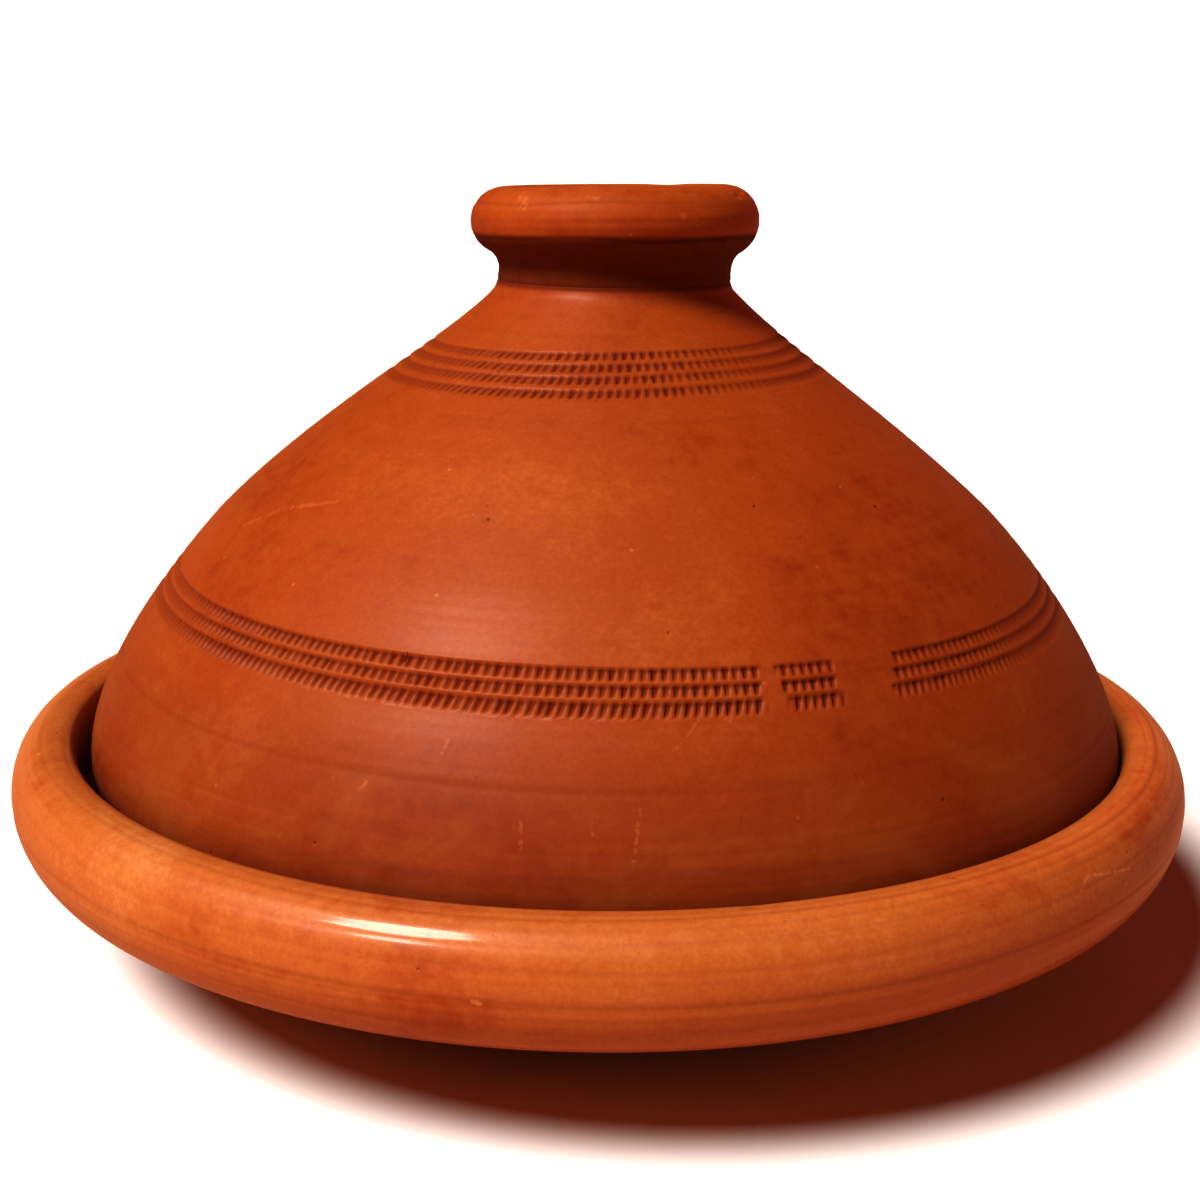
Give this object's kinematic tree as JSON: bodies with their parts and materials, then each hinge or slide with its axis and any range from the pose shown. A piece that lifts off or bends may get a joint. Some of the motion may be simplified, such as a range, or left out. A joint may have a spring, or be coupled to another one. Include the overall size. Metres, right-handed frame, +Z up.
{
  "type": "tagine pot",
  "caption": "Round unglazed clay cooking dish with a rolled rim, and a tall conical lid with a flared cup knob that stands on a ledge inside the rim.",
  "frame": {"origin": "centre of the dish's flat base, on the table", "axes": "+Z up, +X to the side where the short run of the shoulder band lies to the right of the front, -Y to the front"},
  "size_m": [0.3, 0.3, 0.1875],
  "materials": {
    "dish_clay": "burnished unglazed terracotta, light orange",
    "lid_clay": "unglazed terracotta, orange-red, lightly burnished"
  },
  "bodies": {
    "dish": {"dish": "dish_clay"},
    "lid": {"lid": "lid_clay", "knob": "lid_clay"}
  },
  "joints": [
    {"name": "lid_lift", "type": "slide", "parent": "dish", "child": "lid", "axis": [0, 0, 1], "range_m": [0, 0.15]}
  ]
}
